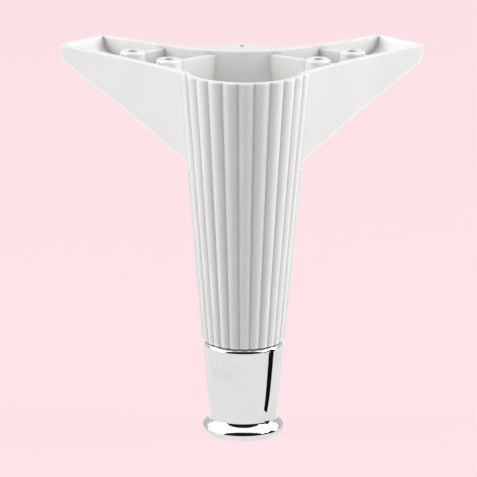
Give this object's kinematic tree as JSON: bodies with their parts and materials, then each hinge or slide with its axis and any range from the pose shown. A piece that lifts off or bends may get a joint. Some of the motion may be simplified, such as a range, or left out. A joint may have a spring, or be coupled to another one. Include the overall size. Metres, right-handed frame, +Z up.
{
  "type": "furniture leg",
  "caption": "Moulded corner furniture leg: reeded tapering column, open-topped mounting wings with screw bosses, and a plated cup foot.",
  "frame": {"origin": "centre of the cup's bottom face, on the floor", "axes": "+Z up the leg to the face that meets the furniture; the reeds face -Y; the wings reach out to +X and -X and back towards +Y"},
  "size_m": [0.148, 0.0883, 0.15],
  "materials": {
    "body": "white injection-moulded plastic, semi-gloss",
    "cup": "chrome-plated moulded plastic, polished"
  },
  "bodies": {
    "root": {"leg_body": "body", "foot_cup": "cup"}
  },
  "joints": []
}
